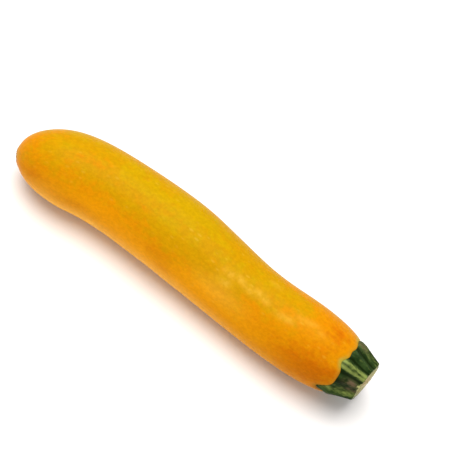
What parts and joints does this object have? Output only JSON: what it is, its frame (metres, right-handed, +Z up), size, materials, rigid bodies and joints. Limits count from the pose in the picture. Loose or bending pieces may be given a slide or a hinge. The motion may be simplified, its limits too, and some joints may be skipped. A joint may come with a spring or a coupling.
{
  "type": "yellow zucchini",
  "caption": "Whole yellow zucchini lying on its side, gently bent, with a smooth waxy skin and the cut stub of its ridged green stem.",
  "frame": {"origin": "middle of the object's box in X and Y, on the ground that the fruit lies on", "axes": "+X along the fruit from the blossom end to the stem, +Z up, +Y to the outside of the bend"},
  "size_m": [0.212, 0.05, 0.0415],
  "materials": {
    "skin": "satin waxy squash skin, yellow shading to orange, with fine pale specks",
    "stem_green": "dark green ridged stalk with paler ridges, and a pale fibrous cut face"
  },
  "bodies": {
    "root": {"fruit": "skin", "stem": "stem_green"}
  },
  "joints": []
}
